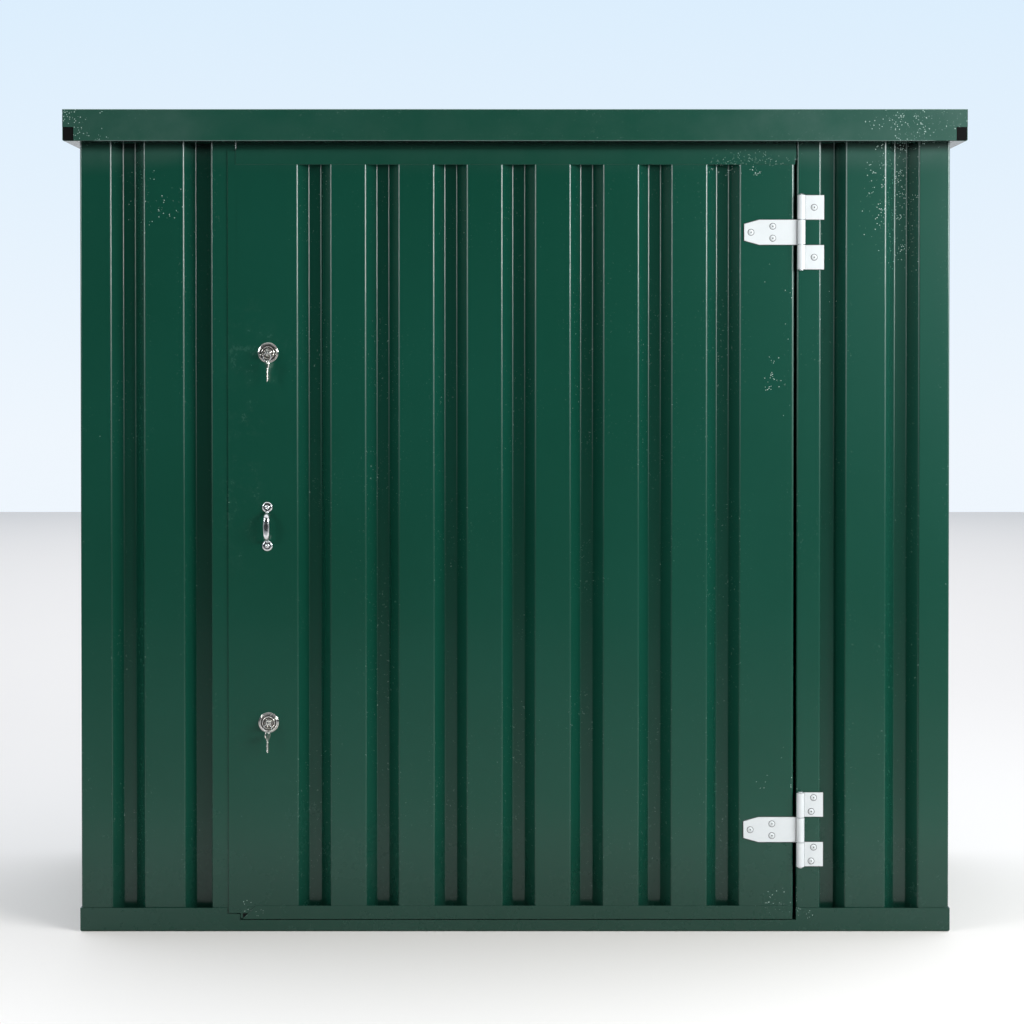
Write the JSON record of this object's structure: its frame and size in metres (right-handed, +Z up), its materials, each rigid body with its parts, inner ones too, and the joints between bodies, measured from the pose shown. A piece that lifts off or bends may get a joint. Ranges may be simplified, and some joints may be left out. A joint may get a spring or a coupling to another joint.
{
  "type": "steel storage container",
  "caption": "Flat-pack corrugated steel storage container with a single side-hinged door, key locks with hanging spare keys, a small pull handle, a fascia roof and a low base frame.",
  "frame": {"origin": "on the ground, under the middle of the bounding box", "axes": "+X to the right seen from the front, along the width; +Y towards the back; +Z up. The door is on the -Y side and its hinges are towards +X."},
  "size_m": [2.272, 1.192, 2.08],
  "materials": {
    "green_paint": "satin dark green powder coat",
    "white_paint": "white painted steel",
    "zinc": "galvanised steel",
    "chrome": "polished chrome plate",
    "nickel": "nickel-plated brass",
    "rubber": "black rubber"
  },
  "bodies": {
    "frame": {"base_front_rail": "green_paint", "base_right_rail": "green_paint", "base_back_rail": "green_paint", "base_left_rail": "green_paint", "base_bearers": "zinc", "floor_plates": "zinc", "sill_plate": "green_paint", "corner_post_front_left": "green_paint", "corner_post_front_right": "green_paint", "corner_post_back_left": "green_paint", "corner_post_back_right": "green_paint", "frame_bolts": "zinc", "front_left_panel": "green_paint", "front_right_panel": "green_paint", "left_side_panel": "green_paint", "right_side_panel": "green_paint", "back_left_panel": "green_paint", "back_right_panel": "green_paint", "lock_jamb": "green_paint", "hinge_jamb": "green_paint", "door_header": "green_paint", "lock_keepers": "zinc", "jamb_screws": "zinc", "roof_front_fascia": "green_paint", "roof_back_fascia": "green_paint", "roof_left_gutter": "green_paint", "roof_right_gutter": "green_paint", "gutter_end_plugs": "rubber", "roof_front_sheet": "green_paint", "roof_back_sheet": "green_paint", "roof_bearers": "zinc", "upper_hinge_plates": "white_paint", "lower_hinge_plates": "white_paint", "hinge_pins": "zinc", "hinge_plate_rivets": "white_paint"},
    "door": {"door_skin": "green_paint", "door_top_rail": "green_paint", "door_bottom_rail": "green_paint", "door_lock_stile": "green_paint", "door_hinge_stile": "green_paint", "door_braces": "green_paint", "upper_hinge_strap": "white_paint", "lower_hinge_strap": "white_paint", "strap_rivets": "white_paint", "door_handle": "chrome", "handle_screws": "chrome", "upper_lock_housing": "chrome", "lower_lock_housing": "chrome", "lock_nuts": "zinc"},
    "upper_lock": {"upper_lock_plug": "nickel", "upper_lock_cam": "zinc"},
    "upper_key_blade": {"upper_key": "nickel"},
    "upper_ring": {"upper_key_ring": "nickel"},
    "upper_spare": {"upper_spare_key": "nickel"},
    "lower_lock": {"lower_lock_plug": "nickel", "lower_lock_cam": "zinc"},
    "lower_key_blade": {"lower_key": "nickel"},
    "lower_ring": {"lower_key_ring": "nickel"},
    "lower_spare": {"lower_spare_key": "nickel"}
  },
  "joints": [
    {"name": "door_swing", "type": "hinge", "parent": "frame", "child": "door", "pos_m": [0.723, -0.5603, 1], "axis": [0, 0, 1], "range_deg": [0, 170]},
    {"name": "upper_lock_turn", "type": "hinge", "parent": "door", "child": "upper_lock", "pos_m": [-0.624, -0.55, 1.469], "axis": [0, 1, 0], "range_deg": [0, 90]},
    {"name": "upper_key_pull", "type": "slide", "parent": "upper_lock", "child": "upper_key_blade", "axis": [0, -1, 0], "range_m": [0, 0.03]},
    {"name": "upper_ring_swing", "type": "hinge", "parent": "upper_key_blade", "child": "upper_ring", "pos_m": [-0.624, -0.5825, 1.4676], "axis": [-1, 0, 0], "range_deg": [-10, 45]},
    {"name": "upper_spare_swing", "type": "hinge", "parent": "upper_ring", "child": "upper_spare", "pos_m": [-0.624, -0.5825, 1.4476], "axis": [-1, 0, 0], "range_deg": [-10, 45]},
    {"name": "lower_lock_turn", "type": "hinge", "parent": "door", "child": "lower_lock", "pos_m": [-0.624, -0.55, 0.532], "axis": [0, 1, 0], "range_deg": [0, 90]},
    {"name": "lower_key_pull", "type": "slide", "parent": "lower_lock", "child": "lower_key_blade", "axis": [0, -1, 0], "range_m": [0, 0.03]},
    {"name": "lower_ring_swing", "type": "hinge", "parent": "lower_key_blade", "child": "lower_ring", "pos_m": [-0.624, -0.5825, 0.5306], "axis": [-1, 0, 0], "range_deg": [-10, 45]},
    {"name": "lower_spare_swing", "type": "hinge", "parent": "lower_ring", "child": "lower_spare", "pos_m": [-0.624, -0.5825, 0.5106], "axis": [-1, 0, 0], "range_deg": [-10, 45]}
  ]
}
